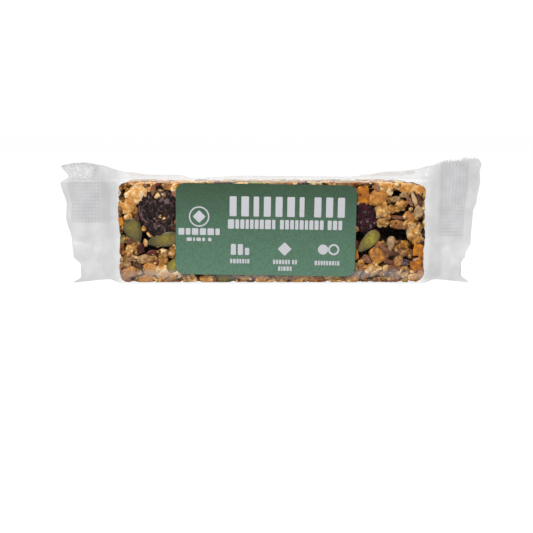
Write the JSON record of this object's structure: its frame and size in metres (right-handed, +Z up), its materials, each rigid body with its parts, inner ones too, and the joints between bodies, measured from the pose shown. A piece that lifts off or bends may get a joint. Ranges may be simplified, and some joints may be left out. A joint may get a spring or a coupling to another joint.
{
  "type": "energy bar in a clear flow-wrap pack",
  "caption": "Pressed bar of oats, seeds and dried fruit in a clear sealed film bag with crimped end seals and a plain green label, standing on its long narrow side.",
  "frame": {"origin": "middle of the pack on the surface it stands on", "axes": "+X along the bar to the right as the label is read, -Y out of the label, +Z up"},
  "size_m": [0.1603, 0.0228, 0.0472],
  "materials": {
    "clear_film": "gloss",
    "label_paper": "satin",
    "label_ink": "satin",
    "pressed_mix": "satin",
    "seeds": "satin",
    "dried_fruit": "satin"
  },
  "bodies": {
    "root": {"sealed_bag": "clear_film", "label": "label_paper"}
  },
  "joints": []
}
